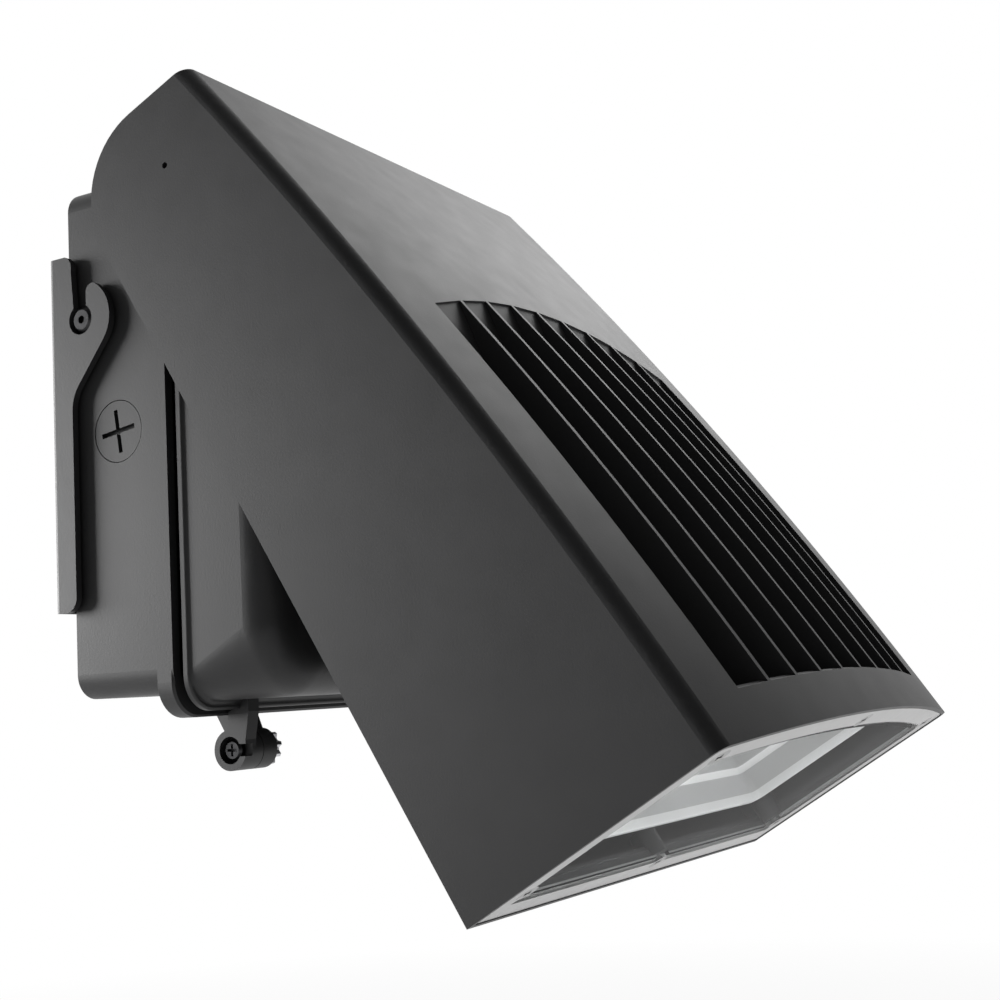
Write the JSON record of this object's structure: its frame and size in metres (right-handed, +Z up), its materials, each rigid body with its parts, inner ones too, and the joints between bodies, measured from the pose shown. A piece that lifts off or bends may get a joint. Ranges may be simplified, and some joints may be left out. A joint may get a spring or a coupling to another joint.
{
  "type": "adjustable wall pack light",
  "caption": "Dark wall-mounted LED light with a hinged junction-box cover and a finned, wedge-shaped head that tilts to aim its lens.",
  "frame": {"origin": "on the wall, in the middle of the bracket and level with the conduit entries", "axes": "+Z up, +Y into the wall, +X to the right seen from the room"},
  "size_m": [0.22, 0.256, 0.2792],
  "materials": {
    "powder_coat": "matte dark powder coat over die-cast aluminium",
    "bracket_coat": "matte dark powder coat on folded steel",
    "foam": "closed-cell foam",
    "silicone": "matte silicone",
    "black_screw": "black oxide, semi-gloss",
    "zinc_screw": "zinc plated",
    "steel_screw": "stainless steel",
    "green_screw": "green plated",
    "steel_pin": "turned steel",
    "nylon": "natural nylon",
    "driver_case": "potted plastic case",
    "terminal_plastic": "grey thermoplastic",
    "clear_lens": "clear moulded lens plate",
    "clear_optic": "clear moulded optic array",
    "white_reflector": "white diffuse reflector",
    "board_white": "white solder mask on an aluminium board",
    "led_yellow": "phosphor"
  },
  "bodies": {
    "mount": {"wall_bracket": "bracket_coat", "entry_seal": "foam", "junction_box": "powder_coat", "conduit_plugs": "powder_coat", "hook_studs": "black_screw", "cover_seal": "silicone", "led_driver": "driver_case", "driver_screws": "zinc_screw", "terminal_block": "terminal_plastic", "ground_screw": "green_screw", "hinge_screws": "black_screw", "hinge_nuts": "zinc_screw"},
    "cover": {"box_cover": "powder_coat", "cover_screws": "black_screw", "pivot_pins": "steel_pin", "pivot_washers": "nylon"},
    "head": {"head_housing": "powder_coat", "tilt_lock_screws": "black_screw", "lens": "clear_lens", "lens_seal": "silicone", "lens_screws": "steel_screw", "reflector": "white_reflector", "light_board": "board_white", "led_chips": "led_yellow", "optic_plate": "clear_optic", "board_screws": "zinc_screw"}
  },
  "joints": [
    {"name": "cover_swing", "type": "hinge", "parent": "mount", "child": "cover", "pos_m": [0, -0.051, -0.111], "axis": [1, 0, 0], "range_deg": [0, 55]},
    {"name": "head_tilt", "type": "hinge", "parent": "cover", "child": "head", "pos_m": [0, -0.061, 0.085], "axis": [-1, 0, 0], "range_deg": [-30.8, 59.2]}
  ]
}
